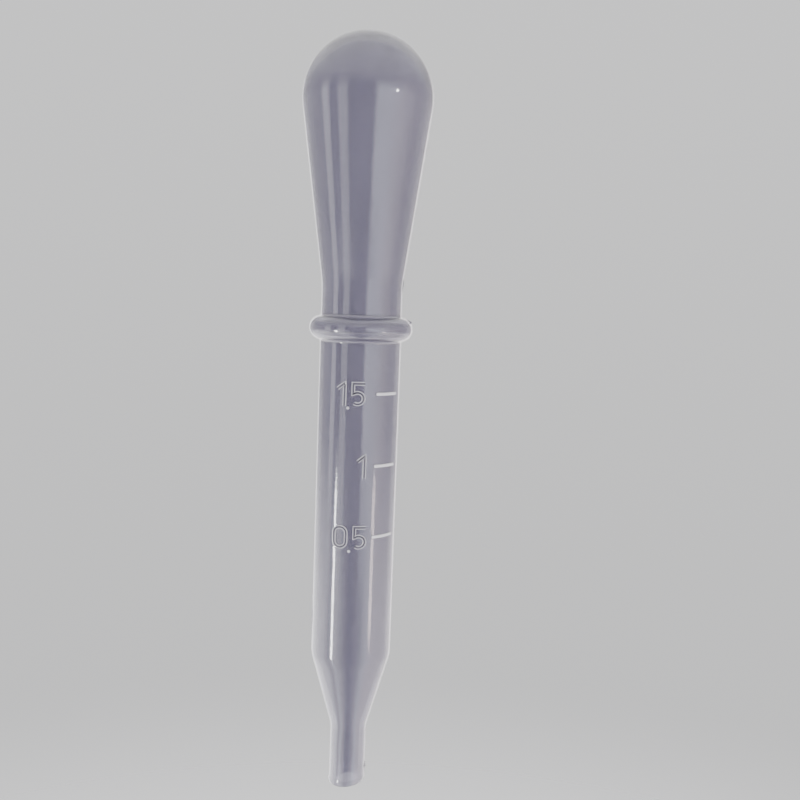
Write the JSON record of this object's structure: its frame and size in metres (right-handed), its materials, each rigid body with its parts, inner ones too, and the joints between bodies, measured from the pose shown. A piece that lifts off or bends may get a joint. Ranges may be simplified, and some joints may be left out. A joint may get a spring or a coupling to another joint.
{
  "type": "transfer pipette",
  "caption": "One-piece squeeze-bulb transfer pipette in milky translucent polyethylene, with a stop collar, a raised scale and a narrow delivery tip.",
  "frame": {"origin": "centre of the delivery tip's mouth", "axes": "+Z along the pipette's axis from the tip to the bulb; -Y is the front, which the scale is read from; the mould's parting plane is y = 0"},
  "size_m": [0.0152, 0.0152, 0.0904],
  "materials": {
    "milky_polyethylene": "satin, milky translucent, faint lavender",
    "raised_scale": "satin, milky translucent, raised in the wall"
  },
  "bodies": {
    "root": {"bulb_shell": "milky_polyethylene", "bulb_neck": "milky_polyethylene", "stop_collar": "milky_polyethylene", "graduated_barrel": "milky_polyethylene", "shoulder_cone": "milky_polyethylene", "delivery_tip": "milky_polyethylene", "graduation_lines": "raised_scale", "numeral_0_5": "raised_scale", "numeral_1": "raised_scale", "numeral_1_5": "raised_scale"},
    "thumb_side": {"thumb_wall": "milky_polyethylene"},
    "finger_side": {"finger_wall": "milky_polyethylene"}
  },
  "joints": [
    {"name": "thumb_squeeze", "type": "slide", "parent": "root", "child": "thumb_side", "axis": [0, 1, 0], "range_m": [0, 0.005], "stiffness_N_per_m": 800},
    {"name": "finger_squeeze", "type": "slide", "parent": "root", "child": "finger_side", "axis": [0, -1, 0], "range_m": [0, 0.005], "stiffness_N_per_m": 800}
  ],
  "couplings": [
    {"joint": "finger_squeeze", "follows": "thumb_squeeze", "ratio": 1}
  ]
}
